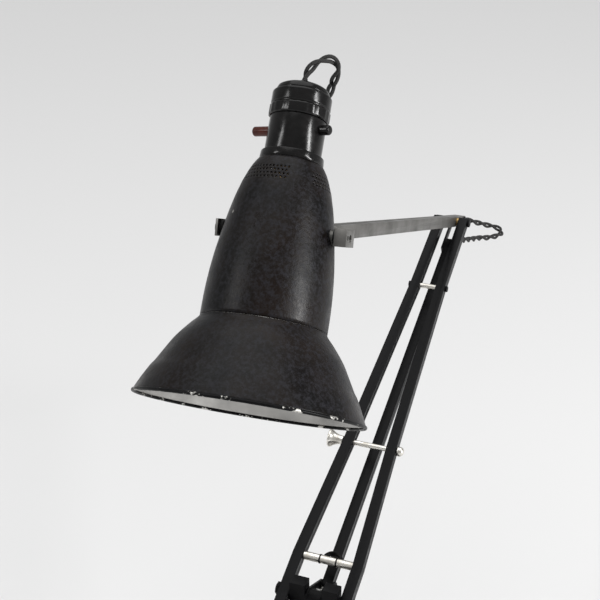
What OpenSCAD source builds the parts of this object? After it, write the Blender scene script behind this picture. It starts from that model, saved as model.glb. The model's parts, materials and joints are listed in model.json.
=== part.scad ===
/* [Base] */
// Side of the square base
base_side = 152; // [146:1:170]
// Height of the stepped base casting
base_h = 48; // [44:1:52]
// Height of the shoulder axle above the table
shoulder_z = 205; // [200:1:215]

/* [Arms] */
// Distance from the shoulder axle to the elbow axle
lower_len = 455; // [440:1:470]
// Lean of the lower arm back from upright, in degrees
lower_lean = 64; // [60:1:66]
// Distance from the elbow axle to the shade's pivot
upper_len = 509; // [480:1:520]
// Rise of the upper arm above level, in degrees
upper_rise = 18.3; // [15:0.1:22]
// Side of the lower arm's square bars
bar = 9.5; // [9:0.5:10]
// Side of the upper arm's square tube
tube = 11.1; // [11:0.1:11.2]
// Distance between the paired pivots of the linkage
crank_len = 32; // [30:1:34]

/* [Shade] */
// Forward tilt of the shade's axis from straight down, in degrees
shade_lean = 34.6; // [30:0.1:40]
// Sideways roll of the head about the upper arm, in degrees
head_roll = 3; // [0:0.5:5]
// Upward bend of the yoke where it meets the upper arm, in degrees
yoke_pitch = 3.5; // [0:0.5:5]
// Height of the shade on its pivot, along its axis; a negative height is lower
shade_up = -2.5; // [-4:0.5:4]
// Outer radius of the rim
rim_r = 79; // [78:1:80]
// Thickness of the spun shade
shade_wall = 1; // [0.8:0.1:1.2]

/* [Cord] */
// Diameter of the twisted flex
flex_d = 6.4; // [6:0.1:7]

/* [Hidden] */
$fn = 48;

// Running clearance of a shaft in its bore, on the radius
run = 0.05;
// Space between parts of two bodies that pass side by side
gap = 0.3;
felt_h = 2;
spindle_r = 7;
bush_r = 11;
flex_bore_r = 4;
foot_z = base_h + 3 + gap;
foot_top = 84;
anchor_z = 74;
front_anchor_x = 14;
rear_x = -32;
axle_r = 4;
pin_r = 2.5;
cheek_in = 7.7;
cheek_out = 21.7;
cheek_x = 12;
fork_len = 33;
fork_in = 5.95;
spring_arm = 17;
bar_in_low = 22.95;

// Points along the lower arm, measured from the shoulder axle
tail_s = -36;
tail_end = -44;
low_s = 36;
mid_s = 159;
top_s = 360;
// Half distance between the bars' inner faces at those points
mid_in = 16.25;
top_in = 8.65;
elbow_in = 7.75;

elbow = [-lower_len*sin(lower_lean), 0, shoulder_z + lower_len*cos(lower_lean)];
tube_dir = [cos(upper_rise), 0, sin(upper_rise)];
tube_back = -42;
tube_front = upper_len - 54;
tube_wall = 1.2;
strap_r = 50;
strap_w = 12;
strap_t = 1.6;
front_x = 9;
ear_y = 42.2;
yoke_back = elbow + (upper_len - strap_r)*tube_dir;
yoke_dir = [cos(upper_rise + yoke_pitch), 0, sin(upper_rise + yoke_pitch)];
head = yoke_back + strap_r*(cos(head_roll)*yoke_dir + sin(head_roll)*cross(tube_dir, yoke_dir)
  + (1 - cos(head_roll))*(tube_dir*yoke_dir)*tube_dir);
switch_s = -75;
switch_turn = 12;

// Frames of the moving parts

module at_shoulder() { translate([0, 0, shoulder_z]) children(); }
module at_elbow() { translate(elbow) children(); }
// Z runs up the lower arm and X is its upper side
module on_lower() { at_shoulder() rotate([0, -lower_lean, 0]) children(); }
// X runs along the upper arm from the elbow
module on_upper() { at_elbow() rotate([0, -upper_rise, 0]) children(); }
// The yoke's frame at the shade's pivot: X towards the front, Y along the pivot
module on_head() {
  translate(head) rotate(a = head_roll, v = tube_dir) rotate([0, -upper_rise - yoke_pitch, 0]) children();
}
// The yoke's stud: Z along the upper arm
module at_stud() { translate(yoke_back) rotate([0, 90 - upper_rise, 0]) children(); }
// The shade's frame: Z along its axis towards the opening
module on_shade() {
  translate(head) rotate(a = head_roll, v = tube_dir) rotate([0, 180 - shade_lean, 0])
    translate([0, 0, -shade_up]) children();
}
module at_crank_end() { at_shoulder() translate(-crank_len*tube_dir) children(); }

// Plain shapes

module rod_y(r, len) { rotate([90, 0, 0]) cylinder(r = r, h = len, center = true); }
module rod_between(r, y0, y1) { translate([0, y1, 0]) rotate([90, 0, 0]) cylinder(r = r, h = y1 - y0); }
module tube_y(r, bore, len) {
  difference() {
    rod_y(r, len);
    rod_y(bore, len + 2);
  }
}
module both_sides() {
  children();
  mirror([0, 1, 0]) children();
}
module rounded_slab(side, h, r) {
  linear_extrude(h) offset(r) square(side - 2*r, center = true);
}
module spun_shell(outer, inner) { rotate_extrude($fn = 96) polygon(concat(outer, inner)); }

// Base

module base_felt() { color("#2c3a2c") rounded_slab(base_side - 6, felt_h, 6); }
module base_weight() {
  step = (base_h - 22)/2;
  color("#161616") difference() {
    union() {
      translate([0, 0, felt_h]) rounded_slab(base_side, 22 - felt_h, 8);
      translate([0, 0, 22]) rounded_slab(base_side - 18, step, 8);
      translate([0, 0, 22 + step]) rounded_slab(base_side - 38, step, 8);
    }
    translate([0, 0, 9]) cylinder(r = bush_r, h = base_h);
    translate([-base_side/2 - 1, 0, 14]) rotate([0, 90, 0]) cylinder(r = flex_bore_r, h = base_side/2);
  }
}
module swivel_bush() {
  color("#a8894a") difference() {
    union() {
      translate([0, 0, 18]) cylinder(r = bush_r, h = base_h - 18);
      translate([0, 0, base_h]) cylinder(r = 16, h = 3);
    }
    cylinder(r = spindle_r + run, h = base_h + 4);
  }
}
module cord_gland() {
  color("#111111") translate([-base_side/2, 0, 14]) rotate([0, -90, 0]) difference() {
    union() {
      cylinder(r = 8.5, h = 4);
      translate([0, 0, 4]) cylinder(r1 = 6.2, r2 = 4.2, h = 24);
    }
    translate([0, 0, -1]) cylinder(r = flex_d/2, h = 30);
  }
}

// Stem

module swivel_spindle() {
  color("#8c8c8c") translate([0, 0, 20]) difference() {
    cylinder(r = spindle_r, h = foot_top - 30);
    translate([0, 0, -1]) cylinder(r = flex_bore_r, h = 60);
  }
}
module stem_foot() {
  color("#161616") difference() {
    union() {
      translate([0, 0, foot_z]) linear_extrude(foot_top - foot_z) offset(4) square([36, 38], center = true);
      both_sides() translate([rear_x + 2, 7, anchor_z]) cube([18, 4, 12], center = true);
    }
    translate([0, 0, foot_z - 1]) cylinder(r = spindle_r, h = foot_top - 10 - foot_z + 1);
    cylinder(r = flex_bore_r, h = 100);
    translate([front_anchor_x, 0, anchor_z]) rod_y(3, 60);
    translate([rear_x, 0, anchor_z]) rod_y(2, 60);
  }
}
module spring_anchors() {
  color("#9a9a9a") {
    translate([front_anchor_x, 0, anchor_z]) rod_y(3, 92);
    translate([rear_x, 0, anchor_z]) rod_y(2, 22);
  }
}
module stem_cheek() {
  color("#161616") difference() {
    translate([-cheek_x/2, cheek_in, foot_top]) cube([cheek_x, cheek_out - cheek_in, shoulder_z + 14 - foot_top]);
    at_shoulder() rod_y(axle_r, 60);
  }
}
module stem_cheek_right() { stem_cheek(); }
module stem_cheek_left() { mirror([0, 1, 0]) stem_cheek(); }
module shoulder_axle() { color("#9a9a9a") at_shoulder() rod_y(axle_r, 71.5); }
module shoulder_nuts() {
  color("#9a9a9a") at_shoulder() both_sides() {
    difference() {
      rod_between(5.8, bar_in_low + bar + gap, bar_in_low + bar + gap + 2.5, $fn = 6);
      rod_y(axle_r, 90);
    }
    difference() {
      rod_between(5.8, cheek_out, bar_in_low - gap);
      rod_y(axle_r, 90);
    }
  }
}

// Lower arm

// Outline of one bar in its own plane, across and along, moved in by t and ending short at the elbow by e
function bar_outline(t, e) = [[bar_in_low + t, tail_end - t], [bar_in_low + t, low_s], [mid_in + t, mid_s],
  [top_in + t, top_s], [elbow_in + t, lower_len - e - 1], [elbow_in + t, lower_len - e],
  [elbow_in + bar - t, lower_len - e], [elbow_in + bar - t, lower_len - e - 1], [top_in + bar - t, top_s],
  [mid_in + bar - t, mid_s], [bar_in_low + bar - t, low_s], [bar_in_low + bar - t, tail_end - t]];
module bar_plate(t, e) {
  translate([-bar/2 + t, 0, 0]) rotate([90, 0, 90]) linear_extrude(bar - 2*t) polygon(bar_outline(t, e));
}
module lower_bar() {
  color("#141414") on_lower() difference() {
    union() {
      bar_plate(0, 0);
      translate([0, 0, lower_len]) rod_between(bar/2, elbow_in, elbow_in + bar);
    }
    bar_plate(1.2, 8);
    rod_y(axle_r + run, 90);
    for (s = [low_s, mid_s, top_s]) translate([0, 0, s]) rod_y(1.6, 90);
    translate([0, 0, lower_len]) rod_y(pin_r, 90);
    translate([0, 0, tail_s]) rod_y(2, 90);
  }
}
module lower_bar_right() { lower_bar(); }
module lower_bar_left() { mirror([0, 1, 0]) lower_bar(); }
module spacer(s, r, inner) { color("#c9c6bd") on_lower() translate([0, 0, s]) tube_y(r, 1.6, 2*inner); }
module spacer_low() { spacer(low_s, 3.75, bar_in_low - 0.21); }
module spacer_mid() { spacer(mid_s, 2.5, mid_in - 0.1); }
module spacer_top() { spacer(top_s, 2.5, top_in - 0.1); }
module spacer_bolts() {
  color("#232323") on_lower() {
    translate([0, 0, low_s]) rod_y(1.6, 2*(bar_in_low + bar));
    translate([0, 0, mid_s]) rod_between(1.6, -mid_in - bar - 1, mid_in + bar + 1.5);
    translate([0, 0, top_s]) bolt(top_in);
  }
}
module bolt(inner) {
  rod_y(1.6, 2*(inner + bar));
  both_sides() rod_between(3, inner + bar + 0.3, inner + bar + 2.3);
  both_sides() rod_between(1.6, inner + bar - 1, inner + bar + 0.3);
}
module dome_nut() {
  y = mid_in + bar + 0.8;
  color("#c9c6bd") on_lower() translate([0, y, mid_s]) rotate([-90, 0, 0]) difference() {
    rotate_extrude() polygon([[0, 0], [4.6, 0], [4.6, 2.4], [3.9, 4.6], [2.4, 5.8], [0, 6.3]]);
    translate([0, 0, -1]) cylinder(r = 1.6, h = 1.7);
  }
}
module spacer_rings() {
  color("#1c1c1c") on_lower() translate([0, 0, low_s]) both_sides() translate([0, 7.6, 0]) tube_y(4.2, 3.75, 1.2);
}
// A bent strip standing on the lowest spacer as an arch
module guide_saddle() {
  color("#171717") on_lower() translate([0, 0, low_s]) difference() {
    translate([-5.5, 3.3, 0]) rotate([0, 90, 0]) difference() {
      cylinder(r = 9.7, h = 6.5);
      translate([0, 0, -1]) cylinder(r = 8.5, h = 9);
      translate([0, -10, -1]) cube([20, 20, 9]);
    }
    rod_y(3.75, 60);
  }
}
module tail_pins() {
  color("#9a9a9a") on_lower() translate([0, 0, tail_s]) both_sides() {
    rod_between(2, bar_in_low - 1, bar_in_low + bar + 12);
    rod_between(3.4, bar_in_low + bar + 12, bar_in_low + bar + 13.5);
  }
}
module elbow_axle() {
  color("#2a2a2a") on_lower() translate([0, 0, lower_len]) {
    rod_y(pin_r, 2*(elbow_in + bar));
    both_sides() rod_between(4.4, elbow_in + bar, elbow_in + bar + 2.4);
  }
}
// A trumpet-shaped nut on the middle spacer's bolt
module thumb_nut() {
  y = mid_in + bar + 0.5;
  color("#c9c6bd") on_lower() translate([0, -y, mid_s]) rotate([90, 0, 0]) difference() {
    rotate_extrude() polygon([[0, 0], [4.2, 0], [4.2, 3], [4.8, 6], [6.3, 9.5], [8.5, 12.5], [8.5, 14],
      [7.6, 14.6], [5, 12.6], [0, 12]]);
    translate([0, 0, -1]) cylinder(r = 1.6 + run, h = 3);
  }
}

// Linkage

module crank() {
  color("#1a1a1a") at_shoulder() both_sides() difference() {
    union() {
      hull() {
        rod_between(7.5, 5.2, 7.3);
        translate(-crank_len*tube_dir) rod_between(4.8, 5.2, 7.3);
      }
      rod_between(6.3, 0, 5.2);
    }
    rod_y(axle_r + gap, 30);
    translate(-crank_len*tube_dir) rod_y(pin_r, 30);
    translate(-spring_arm*tube_dir) rod_y(1.5, 30);
  }
}
module crank_pins() {
  color("#9a9a9a") at_shoulder() {
    translate(-crank_len*tube_dir) rod_y(pin_r, 14.6);
    translate(-spring_arm*tube_dir) rod_y(1.5, 14.6);
  }
}
module crank_bush() { color("#a8894a") at_crank_end() tube_y(3.6, pin_r + run, 9.8); }
module control_bar() {
  color("#141414") at_crank_end() rotate([0, -lower_lean, 0]) difference() {
    union() {
      translate([-bar/2, -bar/2, 0]) cube([bar, bar, lower_len - fork_len]);
      rod_y(bar/2, bar);
      both_sides() {
        translate([-bar/2, bar/2 - 1, lower_len - fork_len - 14]) cube([bar, 8.1 - bar/2, 14]);
        translate([-bar/2, fork_in, lower_len - fork_len]) cube([bar, 1.15, fork_len]);
        translate([0, 0, lower_len]) rod_between(bar/2, fork_in, fork_in + 1.15);
      }
    }
    rod_y(3.6, 20);
    translate([0, 0, lower_len]) rod_y(2.2 + run, 20);
  }
}
module elbow_bush() { color("#a8894a") at_elbow() tube_y(4.2, pin_r + run, 2*elbow_in - 2*gap); }

// Upper arm

module upper_tube() {
  color("#8f8d88") on_upper() difference() {
    union() {
      translate([tube_back + 6, -tube/2, -tube/2]) cube([tube_front - tube_back - 6, tube, tube]);
      translate([tube_back + 6, 0, 0]) rod_y(tube/2, tube);
    }
    translate([tube_back - 5, -tube/2 + tube_wall, -tube/2 + tube_wall])
      cube([tube_front - tube_back + 10, tube - 2*tube_wall, tube - 2*tube_wall]);
    rod_y(4.2, 20);
    translate([-crank_len, 0, 0]) rod_y(2.2, 20);
    translate([tube_front - 45, 0, 0]) cylinder(r = flex_d/2 + 0.2, h = 10);
  }
}
module tail_pin() {
  color("#b0aca4") on_upper() translate([-crank_len, 0, 0]) rod_y(2.2, 17);
}
module tube_plug() {
  color("#77756f") on_upper() translate([tube_front, 0, 0]) rotate([0, 90, 0]) difference() {
    union() {
      translate([0, 0, -14]) linear_extrude(14) square(tube - 2*tube_wall, center = true);
      cylinder(r = 5.4, h = 1.6);
    }
    translate([0, 0, -15]) cylinder(r = 2.5 + run, h = 18);
  }
}

// Yoke

// The strap's line seen from above: folded in to its ear on the right, rounded on the left
module strap_plan() {
  difference() {
    union() {
      intersection() {
        circle(r = strap_r + strap_t/2, $fn = 96);
        translate([-60, 0]) square(60);
      }
      intersection() {
        scale([strap_r + strap_t/2, ear_y + strap_t]) circle(r = 1, $fn = 96);
        translate([-60, -60]) square(60);
      }
    }
    intersection() {
      circle(r = strap_r - strap_t/2, $fn = 96);
      translate([-60, 0]) square([61, 60]);
    }
    intersection() {
      scale([strap_r - strap_t/2, ear_y]) circle(r = 1, $fn = 96);
      translate([-60, -60]) square([61, 60]);
    }
  }
  translate([0, -ear_y - strap_t]) square([front_x, strap_t]);
  translate([0, strap_r - strap_t/2]) square([front_x, strap_t]);
  translate([front_x - strap_t, ear_y]) square([strap_t, strap_r + strap_t/2 - ear_y]);
  translate([-8, ear_y]) square([8 + front_x, strap_t]);
}
module yoke_strap() {
  color("#8f8d88") difference() {
    union() {
      on_head() translate([0, 0, -strap_w/2]) linear_extrude(strap_w) strap_plan();
      at_stud() cylinder(r = 5.2, h = strap_t + 0.7, center = true);
    }
    on_head() rod_y(2.5, 120);
    on_head() rod_between(6, -ear_y, -ear_y + 4);
    at_stud() cylinder(r = 2.5, h = 10, center = true);
    on_head() translate([front_x - 3, strap_r + 1.6, 0]) cube([4, 2.6, 3], center = true);
  }
}
module yoke_stud() {
  pad = strap_t/2 + 0.35;
  color("#c9c6bd") at_stud() {
    translate([0, 0, -18]) cylinder(r = 2.5, h = 20);
    translate([0, 0, pad]) cylinder(r = 4.6, h = 2.4);
    translate([0, 0, -pad - 0.9]) cylinder(r = 5.2, h = 0.9);
  }
}
module fibre_washers() { color("#0c0c0c") on_head() both_sides() translate([0, 41.1, 0]) tube_y(6, 2.5, 2.2); }
module pivot_knob() {
  color("#111111") on_head() translate([0, -ear_y, 0]) rotate([90, 0, 0]) {
    translate([0, 0, -8]) cylinder(r = 2.5, h = 8 + strap_t);
    translate([0, 0, strap_t]) rotate_extrude() polygon([[0, 0], [5, 0], [5, 1.8], [4.4, 2.4], [0, 2.6]]);
  }
}
module pivot_screw() {
  color("#77756f") on_head() translate([0, ear_y, 0]) rotate([-90, 0, 0]) {
    translate([0, 0, -8]) cylinder(r = 2.5, h = 8 + strap_t);
    translate([0, 0, strap_t]) cylinder(r = 4, h = 2);
  }
}

// Shade, in distances along its axis from the pivot

body_line = [[22.8, -50.5], [23.9, -49], [26, -45.5], [28, -41], [31, -33], [33.8, -23], [36.2, -12],
  [38, -2], [39.6, 8], [41.2, 19], [42.4, 31], [43.2, 44], [43.4, 55], [43.4, 62.5]];
flare_line = [[43.4, 62.5], [45, 65], [49.6, 70], [57, 79.5], [62.3, 88.5], [67.3, 97.5], [70, 101.5],
  [74.9, 111], [rim_r - 0.5, 119]];
bulb_line = [[0, -28.5], [11.5, -28.5], [14, -22], [20, -8], [26.5, 6], [29.5, 18], [30, 26],
  [28.5, 36], [24, 46], [16, 53], [7, 56], [0, 56.5]];
function inside(line) = [for (i = [len(line) - 1:-1:0]) line[i] - [shade_wall, 0]];
module shade_body() {
  color("#1b1917") on_shade() difference() {
    spun_shell(body_line, inside(body_line));
    translate([0, 0, shade_up]) rod_y(5, 100);
  }
}
module shade_flare() {
  color("#1b1917") on_shade() {
    spun_shell(flare_line, inside(flare_line));
    translate([0, 0, 119]) rotate_extrude($fn = 96) translate([rim_r - 1, 0]) circle(r = 1.2, $fn = 16);
  }
}
module pivot_bosses() {
  color("#2a2826") on_shade() translate([0, 0, shade_up]) both_sides() difference() {
    rod_between(5, 35.4, 39.7);
    rod_y(2.5 + run, 100);
  }
}
module shade_ring() {
  color("#101010") on_shade() translate([0, 0, -57]) difference() {
    cylinder(r = 22.3, h = 6.5);
    translate([0, 0, -1]) cylinder(r = 17.5, h = 8);
  }
}
module holder_body() {
  color("#101010") on_shade() difference() {
    translate([0, 0, -82.2]) cylinder(r = 19.8, h = 25.2);
    translate([0, 0, -61.5]) cylinder(r = 17.5, h = 10);
    rotate([0, 0, switch_turn]) translate([0, 0, switch_s]) rod_y(3.5 + run, 60);
  }
}
module holder_band() { color("#0d0d0d") on_shade() translate([0, 0, -90.2]) cylinder(r = 21.4, h = 8); }
module holder_sleeve() { color("#0d0d0d") on_shade() translate([0, 0, -100.5]) cylinder(r = 20.8, h = 10.3); }
module holder_cap() {
  color("#0d0d0d") on_shade() rotate_extrude() polygon([[0, -100.5], [18.8, -100.5], [18.8, -102], [17.8, -104.6],
    [15, -106.3], [10.4, -107], [0, -107]]);
}
module cord_grip() {
  color("#0d0d0d") on_shade() rotate_extrude() polygon([[0, -107], [7.5, -107], [7.5, -108.8], [6.6, -109.5], [0, -109.5]]);
}
module bulb_cap() {
  color("#b08d4f") on_shade() {
    translate([0, 0, -59.5]) cylinder(r = 17.2, h = 10.5);
    translate([0, 0, -49]) cylinder(r = 11, h = 20.5);
  }
}
module bulb_glass() {
  color("#f2f0ea") on_shade() rotate_extrude() difference() {
    polygon(bulb_line);
    translate([0, -1]) polygon([for (p = bulb_line) [max(0, p[0] - 1), p[1]]]);
  }
}
module switch_bar() {
  color("#5a2a1c") on_shade() rotate([0, 0, switch_turn]) translate([0, 0, switch_s]) rod_between(3.5, -35.5, 27);
}

// Springs, as closed sleeves of the coils' outer shape

function unit(v) = v/norm(v);
module spring_between(a, b, r) {
  d = b - a;
  h = norm(d);
  translate(a) rotate([0, acos(d[2]/h), atan2(d[1], d[0])])
    rotate_extrude() polygon([[0, 3.3], [2, 3.3], [r, 12], [r, h - 12], [2, h - 3.3], [0, h - 3.3]]);
}
module outer_springs() {
  tail = [-tail_s*sin(lower_lean), 38.5, shoulder_z + tail_s*cos(lower_lean)];
  color("#8a8a86") both_sides() spring_between([front_anchor_x, 38.5, anchor_z], tail, 5.5);
}
module centre_spring() {
  color("#8a8a86") spring_between([rear_x, 0, anchor_z],
    [0, 0, shoulder_z] - spring_arm*tube_dir, 8);
}

// Cords

// Sideways direction at point i of a path, square to it and to the reference direction
function tangent(p, i) = unit(p[min(i + 1, len(p) - 1)] - p[max(i - 1, 0)]);
function ring(p, i, ref, r, n) = let (t = tangent(p, i), a = unit(cross(t, ref)), b = cross(a, t))
  [for (k = [0:n - 1]) p[i] + r*(cos(360*k/n)*a + sin(360*k/n)*b)];
// A round tube swept through the path's own points
module cord_tube(p, ref, d, n = 10) {
  m = len(p);
  polyhedron([for (i = [0:m - 1]) each ring(p, i, ref, d/2, n)],
    concat([[for (k = [0:n - 1]) k]],
      [for (i = [0:m - 2]) for (k = [0:n - 1]) [i*n + k, (i + 1)*n + k, (i + 1)*n + (k + 1)%n, i*n + (k + 1)%n]],
      [[for (k = [n - 1:-1:0]) (m - 1)*n + k]]));
}
head_front = [[12.4, -5.6, 655.5], [10.4, -5.8, 658.4], [7.5, -4.6, 663], [2, 0, 668], [-6, 7, 669],
  [-12, 10, 661], [-13.5, 5.5, 649.5]];
head_rear = [[-13.5, 5.5, 649.5], [-15, 1, 638], [-17, -5, 626], [-20, -9, 610], [-22, -10, 590], [-23, -8, 570],
  [-22, -3, 554], [-21.5, 0, 546], [-21.5, 0, 539]];
elbow_upper = [[-449, 0, 391], [-460, 4, 388], [-472, 12, 382], [-484, 21, 376], [-494, 31, 371],
  [-493, 36, 367], [-484, 36, 365], [-477, 32.5, 366]];
elbow_lower = [[-477, 32.5, 366], [-470, 29, 367], [-455, 22, 371], [-430, 17, 378], [-410, 14, 384], [-397, 13, 389]];
shoulder_loop = [[42, 28, 184], [50, 28, 178], [54, 26, 166], [52, 20, 148], [44, 10, 126], [34, 4, 108],
  [22, 0, 96], [10, 0, 92], [2, 0, 90], [0, 0, 84]];
lead = [[-104, 0, 14], [-116, -1, 13], [-127, -7, 10], [-136, -17, 6.5], [-146, -30, 3.6],
  [-158, -42, 3.3], [-173, -49.5, 3.3], [-190, -51.6, 3.3]];
lead_end = [[-165, 45, 9.4], [-162.5, 45, 9.2], [-160.4, 45, 9]];
coil_c = [-190, 0, 0];
plug_c = [-134, 45, 0];
coil_mid = 35;
coil_wide = 26;
coil_h = 13;

module flex_head_front() { color("#151515") cord_tube(head_front, [0, 1, 0.2], flex_d); }
module flex_head_rear() { color("#151515") cord_tube(head_rear, [0, 1, 0.2], flex_d); }
module flex_elbow_upper() { color("#151515") cord_tube(elbow_upper, [0, 0, 1], flex_d); }
module flex_elbow_lower() { color("#151515") cord_tube(elbow_lower, [0, 0, 1], flex_d); }
module flex_shoulder() { color("#151515") cord_tube(shoulder_loop, [0, 1, 0], flex_d); }
module mains_lead() {
  color("#151515") {
    cord_tube(lead, [0, 0, 1], flex_d);
    cord_tube(lead_end, [0, 0, 1], flex_d);
  }
}
module mains_coil() {
  color("#151515") translate(coil_c) rotate_extrude($fn = 64)
    translate([coil_mid - coil_wide/2, 0]) square([coil_wide, coil_h]);
}
module plug_body() {
  color("#1a1a1a") translate(plug_c) rotate([0, 0, -90]) hull() {
    translate([0, 0, 3]) cylinder(r = 20, h = 16);
    translate([0, 0, 0]) cylinder(r = 18, h = 22);
    translate([-6, -26, 4]) cube([12, 4, 10]);
  }
}
module plug_pins() {
  color("#b08d4f") translate(plug_c + [0, 0, 22]) rotate([0, 0, -90]) {
    translate([-2, 6, 0]) cube([4, 8, 20]);
    for (x = [-11, 11]) translate([x - 3.2, -9, 0]) cube([6.4, 4, 17]);
  }
}

base_felt();
base_weight();
swivel_bush();
cord_gland();
swivel_spindle();
stem_foot();
spring_anchors();
stem_cheek_left();
stem_cheek_right();
shoulder_axle();
shoulder_nuts();
lower_bar_left();
lower_bar_right();
spacer_low();
spacer_mid();
spacer_top();
spacer_bolts();
dome_nut();
spacer_rings();
guide_saddle();
tail_pins();
elbow_axle();
thumb_nut();
crank();
crank_pins();
crank_bush();
control_bar();
elbow_bush();
upper_tube();
tail_pin();
tube_plug();
yoke_strap();
yoke_stud();
fibre_washers();
pivot_knob();
pivot_screw();
shade_body();
shade_flare();
pivot_bosses();
shade_ring();
holder_body();
holder_band();
holder_sleeve();
holder_cap();
cord_grip();
bulb_cap();
bulb_glass();
switch_bar();
outer_springs();
centre_spring();
flex_head_front();
flex_head_rear();
flex_elbow_upper();
flex_elbow_lower();
flex_shoulder();
mains_lead();
mains_coil();
plug_body();
plug_pins();
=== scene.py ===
"""The architect desk lamp's looks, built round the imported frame: paint, plate, glass, springs and flex."""

import json
import math

import bmesh
import bpy
import numpy as np
from mathutils import Matrix, Vector


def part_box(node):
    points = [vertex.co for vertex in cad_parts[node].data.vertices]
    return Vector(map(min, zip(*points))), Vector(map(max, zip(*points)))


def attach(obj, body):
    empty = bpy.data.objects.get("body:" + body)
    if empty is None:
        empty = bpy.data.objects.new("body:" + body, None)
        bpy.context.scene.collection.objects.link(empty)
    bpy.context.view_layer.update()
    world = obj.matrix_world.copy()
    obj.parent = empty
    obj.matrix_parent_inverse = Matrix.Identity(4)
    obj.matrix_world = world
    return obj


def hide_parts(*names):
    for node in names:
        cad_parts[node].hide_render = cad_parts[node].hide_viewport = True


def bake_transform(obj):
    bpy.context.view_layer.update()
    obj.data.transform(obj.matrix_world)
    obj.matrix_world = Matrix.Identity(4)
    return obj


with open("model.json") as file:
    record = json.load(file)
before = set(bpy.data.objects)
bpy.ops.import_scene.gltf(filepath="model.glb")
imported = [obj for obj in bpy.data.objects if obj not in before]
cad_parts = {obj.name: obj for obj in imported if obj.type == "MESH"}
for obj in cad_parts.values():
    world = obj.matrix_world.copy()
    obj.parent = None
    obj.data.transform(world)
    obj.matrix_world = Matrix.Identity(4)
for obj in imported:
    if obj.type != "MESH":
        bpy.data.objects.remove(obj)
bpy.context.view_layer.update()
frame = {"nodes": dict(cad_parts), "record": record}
MM = 0.001
nodes = frame["nodes"]
joints = {j["name"]: j for j in frame["record"]["behaviour"]["joints"]}

# ---------------------------------------------------------------- places, from the frame


def place(name):
    """A hinge's point on its axis, in metres."""
    return np.array(joints[name]["pos_m"], float)


def unit(v):
    v = np.asarray(v, float)
    return v / np.linalg.norm(v)


SHOULDER, ELBOW, HEAD = place("shoulder"), place("elbow"), place("shade_tilt")
CRANK_END = place("crank_turn")
ARM_UP = unit(ELBOW - SHOULDER)
ARM_OUT = np.cross([0, 1, 0], ARM_UP)  # the lower arm's upper side
TUBE = unit(SHOULDER - CRANK_END)
PIVOT = unit(joints["shade_tilt"]["axis"])
SHADE_LEAN = math.radians(34.6)
HEAD_ROLL = math.radians(3)


def turned_about(v, axis, angle):
    return np.array(Matrix.Rotation(angle, 3, Vector(axis)) @ Vector(v))


SHADE_Z = turned_about([math.sin(SHADE_LEAN), 0, -math.cos(SHADE_LEAN)], TUBE, HEAD_ROLL)
SHADE_X = np.cross(PIVOT, SHADE_Z)
SHADE_UP = -2.5  # height of the shade on its pivot, along its axis; a negative height is lower
SHADE = (HEAD - SHADE_UP * MM * SHADE_Z, SHADE_X, PIVOT, SHADE_Z)  # origin and axes: Z towards the opening


def to_row(points, axes):
    """Points in millimetres in a local frame, put into the row frame in metres."""
    origin, x, y, z = axes
    p = np.asarray(points, float) * MM
    return origin + p[..., :1] * x + p[..., 1:2] * y + p[..., 2:] * z


# ---------------------------------------------------------------- camera, light and floor

EYE = (0.7753, 0.2924, 0.8656)
VIEW_DOWN = math.radians(24.65)
VIEW_TURN = math.radians(21.57)
LENS = 72
SENSOR = 36
ROOM_LIGHT = 0.42
FLOOR_GREY = (0.66, 0.66, 0.66, 1)
LIT_POINT = (0.05, 0, 0.6)  # the lamps of the studio aim here


def add_camera():
    cam = bpy.data.cameras.new("camera")
    cam.lens, cam.sensor_width = LENS, SENSOR
    o = bpy.data.objects.new("camera", cam)
    flat = math.cos(VIEW_DOWN)
    ahead = Vector((-flat * math.cos(VIEW_TURN), -flat * math.sin(VIEW_TURN), -math.sin(VIEW_DOWN)))
    o.rotation_euler = ahead.to_track_quat("-Z", "Y").to_euler()
    o.location = EYE
    bpy.context.collection.objects.link(o)
    bpy.context.scene.camera = o


def add_light(name, place_at, aim, size, power, colour=(1, 1, 1)):
    data = bpy.data.lights.new(name, "AREA")
    data.shape, data.size, data.size_y = "RECTANGLE", size[0], size[1]
    data.energy, data.color = power, colour
    o = bpy.data.objects.new(name, data)
    o.location = place_at
    o.rotation_euler = (Vector(aim) - Vector(place_at)).to_track_quat("-Z", "Y").to_euler()
    bpy.context.collection.objects.link(o)


def add_studio():
    scene = bpy.context.scene
    scene.view_settings.view_transform = "Standard"
    world = bpy.data.worlds.new("studio")
    world.use_nodes = True
    world.node_tree.nodes["Background"].inputs["Color"].default_value = (1, 1, 1, 1)
    world.node_tree.nodes["Background"].inputs["Strength"].default_value = ROOM_LIGHT
    scene.world = world
    sun = bpy.data.lights.new("sky", "SUN")
    sun.energy, sun.angle = 1.6, math.radians(70)
    o = bpy.data.objects.new("sky", sun)
    o.rotation_euler = (math.radians(4), math.radians(-8), 0)
    bpy.context.collection.objects.link(o)
    add_light("key", (0.15, 3.2, 1.5), LIT_POINT, (0.5, 1.9), 110)
    add_light("fill", (1.9, -2.2, 2.4), LIT_POINT, (0.5, 1.2), 26)
    floor = bpy.data.meshes.new("floor")
    floor.from_pydata([(-9, -9, 0), (9, -9, 0), (9, 9, 0), (-9, 9, 0)], [], [(0, 1, 2, 3)])
    o = bpy.data.objects.new("floor", floor)
    bpy.context.collection.objects.link(o)
    mat = bpy.data.materials.new("floor")
    mat.use_nodes = True
    mat.node_tree.nodes["Principled BSDF"].inputs["Base Color"].default_value = FLOOR_GREY
    mat.node_tree.nodes["Principled BSDF"].inputs["Roughness"].default_value = 0.9
    floor.materials.append(mat)


# ---------------------------------------------------------------- mesh making


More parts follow.
